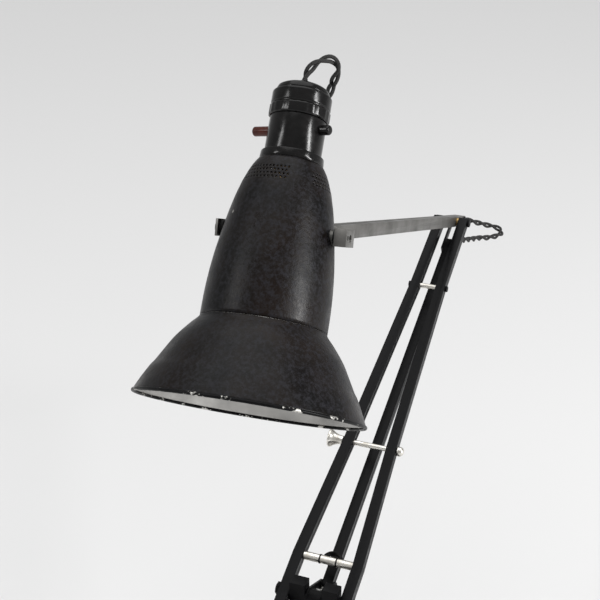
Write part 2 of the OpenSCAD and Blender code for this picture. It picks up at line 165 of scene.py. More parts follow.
def piece(name, verts, faces, material, body, uv=None):
    """A mesh object from arrays, smooth, riding on a body."""
    mesh = bpy.data.meshes.new(name)
    mesh.from_pydata(verts.tolist(), [], faces.tolist() if isinstance(faces, np.ndarray) else faces)
    if uv is not None:
        layer = mesh.uv_layers.new(name="UVMap")
        loops = np.zeros(len(mesh.loops), np.int32)
        mesh.loops.foreach_get("vertex_index", loops)
        layer.data.foreach_set("uv", uv[loops].astype(np.float32).ravel())
    mesh.polygons.foreach_set("use_smooth", np.ones(len(mesh.polygons), bool))
    for m in material if isinstance(material, (list, tuple)) else [material]:
        mesh.materials.append(m)
    o = bpy.data.objects.new(name, mesh)
    bpy.context.collection.objects.link(o)
    if body:
        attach(o, body)
    return o


def grid_faces(rows, cols, wrap):
    """Quads of a rows by cols grid of points; wrap joins the last column to the first."""
    r, c = np.meshgrid(np.arange(rows - 1), np.arange(cols if wrap else cols - 1), indexing="ij")
    r, c = r.ravel(), c.ravel()
    d = (c + 1) % cols
    return np.stack([r * cols + c, r * cols + d, (r + 1) * cols + d, (r + 1) * cols + c], axis=1)


def rounded(profile, radius=0.4, steps=4):
    """A profile with its inner corners replaced by short quadratic curves."""
    p = np.asarray(profile, float)
    out = [p[0]]
    for a, b, c in zip(p[:-2], p[1:-1], p[2:]):
        cut_in = min(radius, 0.45 * np.linalg.norm(a - b))
        cut_out = min(radius, 0.45 * np.linalg.norm(c - b))
        start, end = b + cut_in * unit(a - b), b + cut_out * unit(c - b)
        for t in np.linspace(0, 1, steps):
            out.append((1 - t) ** 2 * start + 2 * t * (1 - t) * b + t * t * end)
    return np.array(out + [p[-1]])


def turned(name, profile, axes, material, body, around=64, ribs=0, rib_depth=0.0, radius=0.4):
    """A turned piece: the profile (radius, height) in millimetres is carried round the frame's Z.

    Where ribs are asked for, the radius falls by up to rib_depth between them, as on a knurled band.
    """
    p = rounded(profile, radius) if radius else np.asarray(profile, float)
    angle = np.linspace(0, 2 * np.pi, around, endpoint=False)
    r = p[:, :1] - rib_depth * (0.5 - 0.5 * np.cos(ribs * angle))[None, :] * (p[:, :1] > 1)
    grid = np.stack([r * np.cos(angle), r * np.sin(angle), np.repeat(p[:, 1:], around, 1)], axis=-1)
    o = piece(name, to_row(grid, axes).reshape(-1, 3), grid_faces(len(p), around, True), material, body)
    bm = bmesh.new()
    bm.from_mesh(o.data)
    bmesh.ops.remove_doubles(bm, verts=bm.verts, dist=1e-6)
    bmesh.ops.holes_fill(bm, edges=bm.edges)
    bmesh.ops.recalc_face_normals(bm, faces=bm.faces)
    bm.to_mesh(o.data)
    bm.free()
    return o


def frames_along(path):
    """Unit tangents and two unit normals at each point of a path, carried along without twist."""
    step = np.gradient(path, axis=0)
    tangent = step / np.linalg.norm(step, axis=1)[:, None]
    side = np.zeros_like(path)
    first = np.cross(tangent[0], [0.3, 0.9, 0.2])
    side[0] = unit(first)
    for i in range(1, len(path)):
        v = side[i - 1] - tangent[i] * (side[i - 1] @ tangent[i])
        side[i] = v / np.linalg.norm(v)
    return tangent, side, np.cross(tangent, side)


def sweep(path, radius, around, turn=0.0, offset=0.0):
    """Rings of a tube round a path, as points and faces with closed ends.

    The tube's centre stands offset from the path and winds round it by turn radians a metre.
    """
    _, a, b = frames_along(path)
    along = np.concatenate([[0], np.cumsum(np.linalg.norm(np.diff(path, axis=0), axis=1))])
    wind = along * turn
    centre = path + offset * (np.cos(wind)[:, None] * a + np.sin(wind)[:, None] * b)
    _, a, b = frames_along(centre)
    t = np.linspace(0, 2 * np.pi, around, endpoint=False)
    outward = np.cos(t)[None, :, None] * a[:, None] + np.sin(t)[None, :, None] * b[:, None]
    ring = centre[:, None] + radius * outward
    faces = grid_faces(len(path), around, True)[:, ::-1].tolist()
    faces.append(list(range(around)))
    faces.append([(len(path) - 1) * around + k for k in range(around)][::-1])
    uv = np.stack([np.tile(t / (2 * np.pi), len(path)), np.repeat(along, around)], axis=1)
    return ring.reshape(-1, 3), faces, uv


def smooth_path(points, step=1.6):
    """A Catmull-Rom curve through given points in millimetres, resampled evenly, in metres."""
    p = np.asarray(points, float)
    q = np.vstack([2 * p[0] - p[1], p, 2 * p[-1] - p[-2]])
    t = np.linspace(0, 1, 24, endpoint=False)[:, None]
    parts = []
    for a, b, c, d in zip(q[:-3], q[1:-2], q[2:-1], q[3:]):
        square, cube = 2 * a - 5 * b + 4 * c - d, 3 * b - a - 3 * c + d
        parts.append(0.5 * (2 * b + (c - a) * t + square * t**2 + cube * t**3))
    line = np.vstack([*parts, p[-1:]])
    along = np.concatenate([[0], np.cumsum(np.linalg.norm(np.diff(line, axis=0), axis=1))])
    at = np.linspace(0, along[-1], max(3, int(along[-1] / step)))
    return np.stack([np.interp(at, along, line[:, k]) for k in range(3)], axis=1) * MM


def softened(node, material, body, edge=0.6, segments=2):
    """A copy of a CAD node with its loose triangles merged and its sharp edges broken."""
    mesh = nodes[node].data.copy()
    bm = bmesh.new()
    bm.from_mesh(mesh)
    bmesh.ops.remove_doubles(bm, verts=bm.verts, dist=2e-6)
    bmesh.ops.dissolve_limit(bm, angle_limit=math.radians(0.8), verts=bm.verts, edges=bm.edges)
    bm.to_mesh(mesh)
    bm.free()
    mesh.materials.clear()
    mesh.materials.append(material)
    name = node + "_finished"
    mesh.name = name
    o = bpy.data.objects.new(name, mesh)
    bpy.context.collection.objects.link(o)
    bevel = o.modifiers.new("edges", "BEVEL")
    bevel.width, bevel.segments, bevel.limit_method = edge * MM, segments, "ANGLE"
    bevel.angle_limit = math.radians(40)
    bevel.harden_normals = True
    mesh.polygons.foreach_set("use_smooth", np.ones(len(mesh.polygons), bool))
    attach(o, body)
    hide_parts(node)
    return o


# ---------------------------------------------------------------- shader groups and materials


class Net:
    """A node tree with short ways to add nodes and join them."""

    def __init__(self, tree):
        self.tree = tree

    def add(self, kind, **values):
        n = self.tree.nodes.new(kind)
        for k, v in values.items():
            if hasattr(n, k):
                setattr(n, k, v)
            else:
                n.inputs[k.replace("_", " ")].default_value = v
        return n

    def join(self, a, b):
        self.tree.links.new(a, b)

    def noise(self, coords, scale, detail=3.0, rough=0.55):
        n = self.add("ShaderNodeTexNoise")
        n.inputs["Scale"].default_value = scale
        n.inputs["Detail"].default_value = detail
        n.inputs["Roughness"].default_value = rough
        self.join(coords, n.inputs["Vector"])
        return n.outputs["Fac"]

    def span(self, value, low, high, to_low=0.0, to_high=1.0):
        n = self.add("ShaderNodeMapRange")
        for key, v in zip(("From Min", "From Max", "To Min", "To Max"), (low, high, to_low, to_high)):
            n.inputs[key].default_value = v
        self.join(value, n.inputs["Value"])
        return n.outputs["Result"]

    def math(self, op, a, b):
        n = self.add("ShaderNodeMath")
        n.operation = op
        for i, v in enumerate((a, b)):
            if isinstance(v, (int, float)):
                n.inputs[i].default_value = v
            else:
                self.join(v, n.inputs[i])
        return n.outputs[0]

    def mix(self, fac, a, b):
        n = self.add("ShaderNodeMix")
        n.data_type = "RGBA"
        for i, v in ((0, fac), (6, a), (7, b)):
            if isinstance(v, (int, float)):
                n.inputs[i].default_value = v
            elif isinstance(v, tuple):
                n.inputs[i].default_value = (*v, 1)
            else:
                self.join(v, n.inputs[i])
        return n.outputs[2]


def group(name, ins, outs, build):
    """A shader node group with named inputs and outputs, built once."""
    tree = bpy.data.node_groups.new(name, "ShaderNodeTree")
    for key, kind, value in ins:
        s = tree.interface.new_socket(key, in_out="INPUT", socket_type=kind)
        if value is not None:
            s.default_value = value
    for key, kind in outs:
        tree.interface.new_socket(key, in_out="OUTPUT", socket_type=kind)
    net = Net(tree)
    start, end = tree.nodes.new("NodeGroupInput"), tree.nodes.new("NodeGroupOutput")
    build(net, start.outputs, end.inputs)
    return tree


FLOAT, VECTOR = "NodeSocketFloat", "NodeSocketVector"


def build_wear(net, i, o):
    """Patches: broad noise broken up by fine noise and cut at a threshold that Amount lowers."""
    broad = net.add("ShaderNodeTexNoise", Detail=4.0)
    fine = net.add("ShaderNodeTexNoise", Detail=2.0)
    for n, k in ((broad, 1.0), (fine, 7.0)):
        net.join(i["Coords"], n.inputs["Vector"])
        net.join(net.math("MULTIPLY", i["Scale"], k), n.inputs["Scale"])
    both = net.math("ADD", net.math("MULTIPLY", broad.outputs["Fac"], 0.65),
                    net.math("MULTIPLY", fine.outputs["Fac"], 0.35))
    cut = net.math("SUBTRACT", 0.78, net.math("MULTIPLY", i["Amount"], 0.35))
    over = net.math("SUBTRACT", both, cut)
    net.join(net.span(over, 0.0, 0.035), o["Mask"])


def build_speckle(net, i, o):
    """Tiny separate chips: the middles of a few cells of a cell pattern."""
    cells = net.add("ShaderNodeTexVoronoi")
    net.join(i["Coords"], cells.inputs["Vector"])
    net.join(i["Scale"], cells.inputs["Scale"])
    middle = net.span(cells.outputs["Distance"], 0.14, 0.24, 1.0, 0.0)
    split = net.add("ShaderNodeSeparateColor")
    net.join(cells.outputs["Color"], split.inputs[0])
    chosen = net.math("GREATER_THAN", split.outputs[0], net.math("SUBTRACT", 1.0, i["Share"]))
    net.join(net.math("MULTIPLY", middle, chosen), o["Mask"])


def build_brushed(net, i, o):
    """Fine lines: noise stretched by Stretch, whose long direction has the small number."""
    scaled = net.add("ShaderNodeVectorMath")
    scaled.operation = "MULTIPLY"
    net.join(i["Coords"], scaled.inputs[0])
    net.join(i["Stretch"], scaled.inputs[1])
    net.join(net.noise(scaled.outputs[0], 1.0, 4.0, 0.6), o["Lines"])


THREADS_ROUND = 6
THREADS_A_METRE = 900


def build_braid(net, i, o):
    """Braided cotton on UV: two crossing sets of slanted threads, as sines of u + v and u - v."""
    uv = net.add("ShaderNodeSeparateXYZ")
    net.join(i["Coords"], uv.inputs[0])
    u = net.math("MULTIPLY", uv.outputs[0], 2 * math.pi * THREADS_ROUND)
    v = net.math("MULTIPLY", uv.outputs[1], 2 * math.pi * THREADS_A_METRE)
    one = net.math("SINE", net.math("ADD", u, v), 0.0)
    two = net.math("SINE", net.math("SUBTRACT", u, v), 0.0)
    net.join(net.span(net.math("MAXIMUM", one, two), -0.6, 1.0), o["Height"])


WEAR = group("wear", [("Coords", VECTOR, None), ("Scale", FLOAT, 60.0), ("Amount", FLOAT, 0.3)],
             [("Mask", FLOAT)], build_wear)
SPECKLE = group("speckle", [("Coords", VECTOR, None), ("Scale", FLOAT, 120.0), ("Share", FLOAT, 0.02)],
                [("Mask", FLOAT)], build_speckle)
BRUSHED = group("brushed", [("Coords", VECTOR, None), ("Stretch", VECTOR, (20, 900, 900))],
                [("Lines", FLOAT)], build_brushed)
BRAID = group("braid", [("Coords", VECTOR, None)], [("Height", FLOAT)], build_braid)


def new_material(name):
    mat = bpy.data.materials.new(name)
    mat.use_nodes = True
    net = Net(mat.node_tree)
    shader = mat.node_tree.nodes["Principled BSDF"]
    coords = net.add("ShaderNodeTexCoord").outputs["Object"]
    return mat, net, shader, coords


def use(net, tree, coords, **values):
    n = net.add("ShaderNodeGroup")
    n.node_tree = tree
    net.join(coords, n.inputs["Coords"])
    for k, v in values.items():
        n.inputs[k].default_value = v
    return n.outputs[0]


def bump(net, shader, height, strength, distance):
    b = net.add("ShaderNodeBump")
    b.inputs["Strength"].default_value = strength
    b.inputs["Distance"].default_value = distance
    net.join(height, b.inputs["Height"])
    net.join(b.outputs["Normal"], shader.inputs["Normal"])


def mottled_enamel():
    """Old stoved enamel: black with brown and blue-grey mottling, orange peel, and small pale chips."""
    mat, net, shader, xyz = new_material("mottled_enamel")
    shader.inputs["Specular IOR Level"].default_value = 0.16
    broad = net.span(net.noise(xyz, 22, 4), 0.35, 0.7)
    grain = net.span(net.noise(xyz, 340, 4, 0.75), 0.44, 0.62)
    base = net.mix(broad, (0.0010, 0.0010, 0.0011), (0.0090, 0.0052, 0.0035))
    grey = net.mix(net.math("MULTIPLY", grain, 0.65), base, (0.017, 0.017, 0.021))
    chips = use(net, SPECKLE, xyz, Scale=95.0, Share=0.012)
    colour = net.mix(chips, grey, (0.42, 0.41, 0.38))
    net.join(colour, shader.inputs["Base Color"])
    rough = net.math("ADD", net.span(net.noise(xyz, 60, 3), 0.3, 0.7, 0.26, 0.44),
                     net.math("MULTIPLY", grain, 0.1))
    net.join(rough, shader.inputs["Roughness"])
    height = net.math("ADD", net.noise(xyz, 420, 2), net.math("MULTIPLY", net.noise(xyz, 1400, 2), 0.5))
    bump(net, shader, net.math("SUBTRACT", height, chips), 0.35, 0.0004)
    return mat


def spun_aluminium():
    """The shade's bright inside: stretched fine noise stands for the spinning lines, with dull patches."""
    mat, net, shader, xyz = new_material("spun_aluminium")
    shader.inputs["Metallic"].default_value = 1.0
    lines = use(net, BRUSHED, xyz, Stretch=(500.0, 500.0, 60.0))
    dull = net.span(net.noise(xyz, 30, 4), 0.35, 0.7)
    net.join(net.mix(dull, (0.50, 0.49, 0.47), (0.30, 0.295, 0.285)), shader.inputs["Base Color"])
    rough = net.math("ADD", net.span(dull, 0, 1, 0.3, 0.42), net.math("MULTIPLY", lines, 0.08))
    net.join(rough, shader.inputs["Roughness"])
    bump(net, shader, lines, 0.15, 0.0002)
    return mat


def worn_black(name, amount, metal=(0.30, 0.29, 0.27), base=(0.0016, 0.0016, 0.0019), rough=0.36):
    """Black enamel on steel, rubbed through in places to bare metal."""
    mat, net, shader, xyz = new_material(name)
    shader.inputs["Specular IOR Level"].default_value = 0.11
    wear = use(net, WEAR, xyz, Scale=70.0, Amount=amount)
    fine = net.noise(xyz, 300, 3)
    colour = net.mix(net.span(fine, 0.35, 0.7), base, tuple(2.2 * c for c in base))
    net.join(net.mix(wear, colour, metal), shader.inputs["Base Color"])
    net.join(net.math("MULTIPLY", wear, 0.9), shader.inputs["Metallic"])
    net.join(net.span(fine, 0.3, 0.7, rough - 0.06, rough + 0.12), shader.inputs["Roughness"])
    bump(net, shader, net.math("SUBTRACT", fine, wear), 0.2, 0.0003)
    return mat


def plain_metal(name, bright, dull, low, high, stretch, patch=45):
    """Bare or plated metal: two tones in patches, with fine lines along stretch's smallest number."""
    mat, net, shader, xyz = new_material(name)
    shader.inputs["Metallic"].default_value = 1.0
    tone = net.span(net.noise(xyz, patch, 4), 0.35, 0.68)
    lines = use(net, BRUSHED, xyz, Stretch=stretch)
    net.join(net.mix(tone, bright, dull), shader.inputs["Base Color"])
    rough = net.math("ADD", net.span(tone, 0, 1, low, high), net.math("MULTIPLY", lines, 0.1))
    net.join(rough, shader.inputs["Roughness"])
    bump(net, shader, lines, 0.12, 0.0002)
    return mat


def moulded(name, light, dark, low, high, grain=240):
    """Bakelite, rubber or fibre: two close tones, a fine grain and a slight ripple."""
    mat, net, shader, xyz = new_material(name)
    shader.inputs["Specular IOR Level"].default_value = 0.25
    tone = net.span(net.noise(xyz, 60, 4), 0.35, 0.7)
    net.join(net.mix(tone, dark, light), shader.inputs["Base Color"])
    fine = net.noise(xyz, grain, 3)
    net.join(net.span(fine, 0.3, 0.7, low, high), shader.inputs["Roughness"])
    bump(net, shader, fine, 0.12, 0.0002)
    return mat


def braided_cotton():
    mat, net, shader, _ = new_material("braided_cotton")
    uv = net.add("ShaderNodeTexCoord").outputs["UV"]
    height = use(net, BRAID, uv)
    # the grooves between the threads are painted darker than the threads' crowns: painted shade in the
    # grooves
    net.join(net.mix(height, (0.003, 0.003, 0.003), (0.022, 0.021, 0.02)), shader.inputs["Base Color"])
    net.join(net.span(height, 0, 1, 0.9, 0.62), shader.inputs["Roughness"])
    bump(net, shader, height, 0.8, 0.0004)
    return mat


def felt():
    mat, net, shader, xyz = new_material("felt")
    fibres = net.noise(xyz, 1500, 4, 0.8)
    net.join(net.mix(fibres, (0.01, 0.03, 0.012), (0.04, 0.08, 0.04)), shader.inputs["Base Color"])
    shader.inputs["Roughness"].default_value = 0.95
    bump(net, shader, fibres, 0.6, 0.0005)
    return mat


def pearl_glass():
    mat, net, shader, xyz = new_material("pearl_glass")
    cloud = net.noise(xyz, 40, 3)
    net.join(net.mix(cloud, (0.86, 0.85, 0.82), (0.93, 0.92, 0.9)), shader.inputs["Base Color"])
    net.join(net.span(cloud, 0.3, 0.7, 0.14, 0.24), shader.inputs["Roughness"])
    shader.inputs["Transmission Weight"].default_value = 0.35
    return mat


ENAMEL = mottled_enamel()
INSIDE = spun_aluminium()
BAR_BLACK = worn_black("bar_black", 0.12)
BASE_BLACK = worn_black("base_black", 0.2, rough=0.33)
SHEET_BLACK = worn_black("sheet_black", 0.25, rough=0.45)
GREY_STEEL = plain_metal("grey_steel", (0.20, 0.195, 0.185), (0.13, 0.127, 0.12), 0.34, 0.5,
                         (14.0, 700.0, 700.0))
RIM_BLACK = worn_black("rim_black", 0.62, (0.55, 0.54, 0.51))
ZINC = plain_metal("zinc", (0.55, 0.55, 0.54), (0.38, 0.38, 0.37), 0.3, 0.45, (300.0, 60.0, 300.0))
NICKEL = plain_metal("old_nickel", (0.86, 0.84, 0.79), (0.58, 0.55, 0.49), 0.16, 0.34,
                     (400.0, 60.0, 400.0), 120)
BRONZE = plain_metal("bronze", (0.52, 0.36, 0.15), (0.34, 0.22, 0.09), 0.28, 0.42,
                     (300.0, 60.0, 300.0))
WIRE = plain_metal("spring_wire", (0.50, 0.49, 0.47), (0.34, 0.33, 0.31), 0.24, 0.38, (300.0, 300.0, 300.0))
BAKELITE = moulded("black_bakelite", (0.007, 0.0065, 0.0065), (0.0025, 0.0025, 0.0025), 0.12, 0.24)
BROWN = moulded("brown_bakelite", (0.16, 0.035, 0.018), (0.055, 0.012, 0.008), 0.18, 0.3)
RUBBER = moulded("rubber", (0.014, 0.014, 0.014), (0.008, 0.008, 0.008), 0.5, 0.7)
FIBRE = moulded("black_fibre", (0.008, 0.008, 0.008), (0.004, 0.004, 0.004), 0.6, 0.8)
BRAIDED = braided_cotton()
FELT = felt()
PEARL = pearl_glass()

# ---------------------------------------------------------------- cords

FLEX = 6.4  # the pair's width in millimetres
CORE = 2.9
TWIST = 2 * math.pi / 0.030  # one turn of the pair every 30 mm


def twisted_flex(name, path, body):
    """Two braided cores wound round the path, joined in one mesh."""
    verts, faces, uvs = [], [], []
    for side in (1, -1):
        v, f, uv = sweep(path, CORE / 2 * MM, 10, TWIST, side * (FLEX - CORE) / 2 * MM)
        start = sum(len(x) for x in verts)
        verts.append(v)
        faces += [[i + start for i in face] for face in f]
        uvs.append(uv)
    return piece(name, np.vstack(verts), faces, BRAIDED, body, np.vstack(uvs))


HEAD_FRONT = [(12.4, -5.6, 655.5), (10.4, -5.8, 658.4), (7.5, -4.6, 663), (2, 0, 668), (-6, 7, 669),
              (-12, 10, 661), (-13.5, 5.5, 649.5)]
HEAD_REAR = [(-13.5, 5.5, 649.5), (-15, 1, 638), (-17, -5, 626), (-20, -9, 610), (-22, -10, 590),
             (-23, -8, 570), (-22, -3, 554), (-21.5, 0, 546), (-21.5, 0, 539)]
ELBOW_LOOP = [(-449, 0, 391), (-460, 4, 388), (-472, 12, 382), (-484, 21, 376), (-492, 28.5, 372),
              (-495, 34, 369), (-492, 37.5, 367), (-485, 36.5, 365.5), (-470, 29, 367), (-455, 22, 371),
              (-430, 17, 378), (-410, 14, 384), (-397, 13, 389)]
SHOULDER_LOOP = [(42, 28, 184), (50, 28, 178), (54, 26, 166), (52, 20, 148), (44, 10, 126), (34, 4, 108),
                 (22, 0, 96), (10, 0, 92), (2, 0, 90), (0, 0, 84)]
LEAD = [(-104, 0, 14), (-116, -1, 13), (-127, -7, 10), (-136, -17, 6.5), (-146, -30, 3.6),
        (-158, -42, 3.3), (-173, -49.5, 3.3)]
LEAD_END = [(-165, 45, 9.4), (-162.5, 45, 9.2), (-160.4, 45, 9)]
COIL_AT = (-190, 0)
COIL_TURNS = 7.5
COIL_OUT = 44.8
COIL_STEPS = 26  # points in one turn
LOW_LAYER, HIGH_LAYER = 3.3, 9.6  # heights of the flex's middle on the table and on itself


def flex_loop(name, route, replaced):
    """A short flex from one body to the next, drawn across the joint between them in its rest shape and tied
    to neither body.
    """
    path = smooth_path(route)
    o = twisted_flex(name, path, None)
    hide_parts(*replaced)
    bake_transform(o)
    return o


def coil_points():
    """Four turns winding inwards on the table, then the rest winding out on top of them."""
    out = []
    lower_turns = 4.0
    for k in range(int(COIL_TURNS * COIL_STEPS) + 1):
        turn = k / COIL_STEPS
        angle = math.radians(270) - 2 * math.pi * turn
        if turn <= lower_turns:
            share = 1 - turn / lower_turns
        else:
            share = (turn - lower_turns) / (COIL_TURNS - lower_turns)
        r = COIL_OUT - FLEX * 3 * (1 - share)
        # the cord climbs onto the lower layer over a fifth of a turn
        climb = min(1, max(0, (turn - lower_turns + 0.2) / 0.2))
        z = LOW_LAYER + (HIGH_LAYER - LOW_LAYER) * climb * climb * (3 - 2 * climb)
        out.append((COIL_AT[0] + r * math.cos(angle), COIL_AT[1] + r * math.sin(angle), z))
    return out


def mains_flex():
    path = smooth_path(LEAD + coil_points()[2:] + LEAD_END, 2.6)
    o = twisted_flex("mains_flex", path, "base")
    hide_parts("mains_lead", "mains_coil")


def all_cords():
    flex_loop("head_flex_front", HEAD_FRONT, ["flex_head_front"])
    flex_loop("head_flex_rear", HEAD_REAR, ["flex_head_rear"])
    flex_loop("elbow_flex", ELBOW_LOOP, ["flex_elbow_upper", "flex_elbow_lower"])
    flex_loop("shoulder_flex", SHOULDER_LOOP, ["flex_shoulder"])
    mains_flex()


# ---------------------------------------------------------------- springs


TAIL_BACK = 0.036  # from the shoulder axle back to the bars' tail pins
SPRING_ARM = 0.017  # from the shoulder axle to the crank's spring pin
SPRING_Y = 0.0385  # from the middle plane out to each outer spring
FRONT_ANCHOR_X = 0.014
REAR_ANCHOR_X = -0.032
HOOK_LENGTH = 0.0045
EYE_R = 0.0031
NECK_R = 2.2  # the helix's radius beside its hooks, in millimetres
TAPER = 0.10  # the share of the spring over which it swells to its full radius


def coil_spring(name, a, b, radius, wire, turns):
    """A close-wound spring with tapered ends: a helix whose radius swells from the hooks at both ends."""
    length = np.linalg.norm(b - a)
    t = np.linspace(0, 1, int(turns * 18))
    z = unit(b - a)
    x = unit(np.cross(z, [0, 1, 0.01]))
    y = np.cross(z, x)
    swell = np.clip(np.minimum(t, 1 - t) / TAPER, 0, 1)
    r = (NECK_R + (radius - NECK_R) * np.sin(swell * np.pi / 2)) * MM
    angle = 2 * np.pi * turns * t
    line = a + z * (HOOK_LENGTH + (length - 2 * HOOK_LENGTH) * t)[:, None]
    line = line + (r * np.cos(angle))[:, None] * x + (r * np.sin(angle))[:, None] * y
    v, f, _ = sweep(line, wire * MM / 2, 8)
    eyes, faces = [v], list(f)
    for at, way in ((a, 1), (b, -1)):
        k = np.linspace(0.15, 2 * np.pi - 0.15, 24)
        loop = at + EYE_R * (np.cos(k)[:, None] * -z * way + np.sin(k)[:, None] * np.cross(z, [0, 1, 0]))
        ev, ef, _ = sweep(loop, wire * MM / 2, 8)
        start = sum(len(e) for e in eyes)
        eyes.append(ev)
        faces += [[i + start for i in face] for face in ef]
    return piece(name, np.vstack(eyes), faces, WIRE, None)


def all_springs():
    foot = np.array(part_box("spring_anchors")).mean(axis=0)
    z_anchor = foot[2]
    tail = SHOULDER - TAIL_BACK * ARM_UP
    for side, word in ((1, "right"), (-1, "left")):
        top = np.array([tail[0], side * SPRING_Y, tail[2]])
        low = np.array([FRONT_ANCHOR_X, side * SPRING_Y, z_anchor])
        o = coil_spring(f"balance_spring_{word}", low, top, 5.0, 1.3, 46)
        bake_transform(o)
        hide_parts("outer_springs")
    low = np.array([REAR_ANCHOR_X, 0, z_anchor])
    top = SHOULDER - SPRING_ARM * TUBE
    o = coil_spring("balance_spring_centre", low, top, 7.2, 1.7, 36)
    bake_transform(o)
    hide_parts("centre_spring")


# ---------------------------------------------------------------- shade

BODY_LINE = [(22.8, -50.5), (23.9, -49), (26, -45.5), (28, -41), (31, -33), (33.8, -23), (36.2, -12),
             (38, -2), (39.6, 8), (41.2, 19), (42.4, 31), (43.2, 44), (43.4, 55), (43.4, 62)]
FLARE_LINE = [(43.5, 63), (45, 65), (49.6, 70), (57, 79.5), (62.3, 88.5), (67.3, 97.5), (70, 101.5),
              (74.9, 111), (78.5, 119)]
BEAD_AT = (78, 119.2)  # radius and height of the middle of the rim's rolled bead
BEAD_R = 1.25
WALL = 1.0
VENT_CELLS = 66
VENT_ROWS = 4
VENT_TOP = -43.0
VENT_PITCH = 2.75
VENT_HOLE = 0.78
VENT_SECTOR = 22  # cells from one group of holes to the next
VENT_BLANK = 6
VENT_START = 141.4  # middle of one plain gap, in degrees round the shade


def rings(profile, around):
    """A profile (radius, height) carried round Z, as a grid of points in the shade's frame."""
    angle = np.arange(around) * 2 * math.pi / around
    flat = [profile[:, :1] * np.cos(angle), profile[:, :1] * np.sin(angle)]
    return np.stack([*flat, np.repeat(profile[:, 1:], around, 1)], axis=-1)


def shell_radius(s):
    """The shade's outer radius at a distance along its axis, by straight lines between BODY_LINE's points."""
    line = np.array(BODY_LINE)
    return np.interp(s, line[:, 1], line[:, 0])


def curve_through(line, step):
    p = np.array([(r, s, 0) for r, s in line])
    return smooth_path(p, step)[:, :2] / MM


def vent_cell(row, col, open_hole, verts, faces):
    """One square cell of the vent band, with eight points round it and a round hole or a plain middle."""
    half = VENT_PITCH / 2
    s0 = VENT_TOP + (row + 0.5) * VENT_PITCH
    shift = 0.5 * (row % 2)
    edge = [(-1, -1), (0, -1), (1, -1), (1, 0), (1, 1), (0, 1), (-1, 1), (-1, 0)]
    start = len(verts)

    def at(dx, dy):
        s = s0 + dy * half
        angle = (col + shift + 0.5 * dx) * 2 * math.pi / VENT_CELLS
        r = shell_radius(s)
        return (r * math.cos(angle), r * math.sin(angle), s)

    verts.extend(at(*e) for e in edge)
    if open_hole:
        width = 2 * math.pi * shell_radius(s0) / VENT_CELLS / 2
        for dx, dy in edge:
            n = math.hypot(dx, dy)
            verts.append(at(dx / n * VENT_HOLE / width, dy / n * VENT_HOLE / half))
        inner = start + 8
        faces.extend((start + k, start + (k + 1) % 8, inner + (k + 1) % 8, inner + k) for k in range(8))
    else:
        verts.append(at(0, 0))
        faces.extend((start + k, start + (k + 1) % 8, start + 8) for k in range(8))


def shade_upper():
    """The spun body: a turned shell whose shoulder carries groups of small staggered vent holes."""
    around = 2 * VENT_CELLS
    verts, faces = [], []
    bottom = VENT_TOP + VENT_ROWS * VENT_PITCH
    for row in range(VENT_ROWS):
        for col in range(VENT_CELLS):
            blank = (col % VENT_SECTOR) < VENT_BLANK
            vent_cell(row, col, not blank, verts, faces)
    above = [(r, s) for r, s in BODY_LINE if s < VENT_TOP - 0.5] + [(float(shell_radius(VENT_TOP)), VENT_TOP)]
    below = np.array([(float(shell_radius(s)), s) for s in (bottom, -31, -29)])
    lower = curve_through([(r, s) for r, s in BODY_LINE if s > -25], 2.5)
    for part in (np.array(above), np.vstack([below, lower])):
        grid = rings(part, around)
        start = len(verts)
        verts.extend(map(tuple, grid.reshape(-1, 3)))
        faces.extend(tuple(int(i) + start for i in f) for f in grid_faces(len(part), around, True))
    turn = math.radians(VENT_START) - (VENT_BLANK / 2 - 0.5) * 2 * math.pi / VENT_CELLS
    p = np.array(verts)
    c, s = math.cos(turn), math.sin(turn)
    p = np.stack([p[:, 0] * c - p[:, 1] * s, p[:, 0] * s + p[:, 1] * c, p[:, 2]], axis=1)
    return shell("shade_body_shell", to_row(p, SHADE), faces, ("shade_body",))


def shell(name, verts, faces, replaced):
    """A thin wall, enamel outside and bright inside, from its outer surface."""
    o = piece(name, np.asarray(verts), faces, [ENAMEL, INSIDE], "shade")
    bm = bmesh.new()
    bm.from_mesh(o.data)
    bmesh.ops.remove_doubles(bm, verts=bm.verts, dist=2e-5)
    middle = Vector(HEAD)
    axis = Vector(SHADE_Z)
    bmesh.ops.recalc_face_normals(bm, faces=bm.faces)
    sample = max(bm.faces, key=lambda f: f.calc_area())
    away = sample.calc_center_median() - middle
    away -= axis * away.dot(axis)
    if sample.normal.dot(away) < 0:
        bmesh.ops.reverse_faces(bm, faces=bm.faces)
    bm.to_mesh(o.data)
    bm.free()
    wall = o.modifiers.new("wall", "SOLIDIFY")
    wall.thickness, wall.offset, wall.material_offset = WALL * MM, -1, 1
    wall.use_even_offset = True
    for n in replaced:
        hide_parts(n)
    return o


def shade_lower():
    profile = np.vstack([[(43.4, 62.3)], curve_through(FLARE_LINE, 1.8)])
    around = 2 * VENT_CELLS
    verts = to_row(rings(profile, around), SHADE).reshape(-1, 3)
    shell("shade_flare_shell", verts, grid_faces(len(profile), around, True), ("shade_flare",))
    turns = np.linspace(0, 2 * math.pi, 13)
    bead = [(BEAD_AT[0] + BEAD_R * math.cos(a), BEAD_AT[1] + BEAD_R * math.sin(a)) for a in turns]
    turned("shade_rim_bead", bead, SHADE, RIM_BLACK, "shade", 132, radius=0)


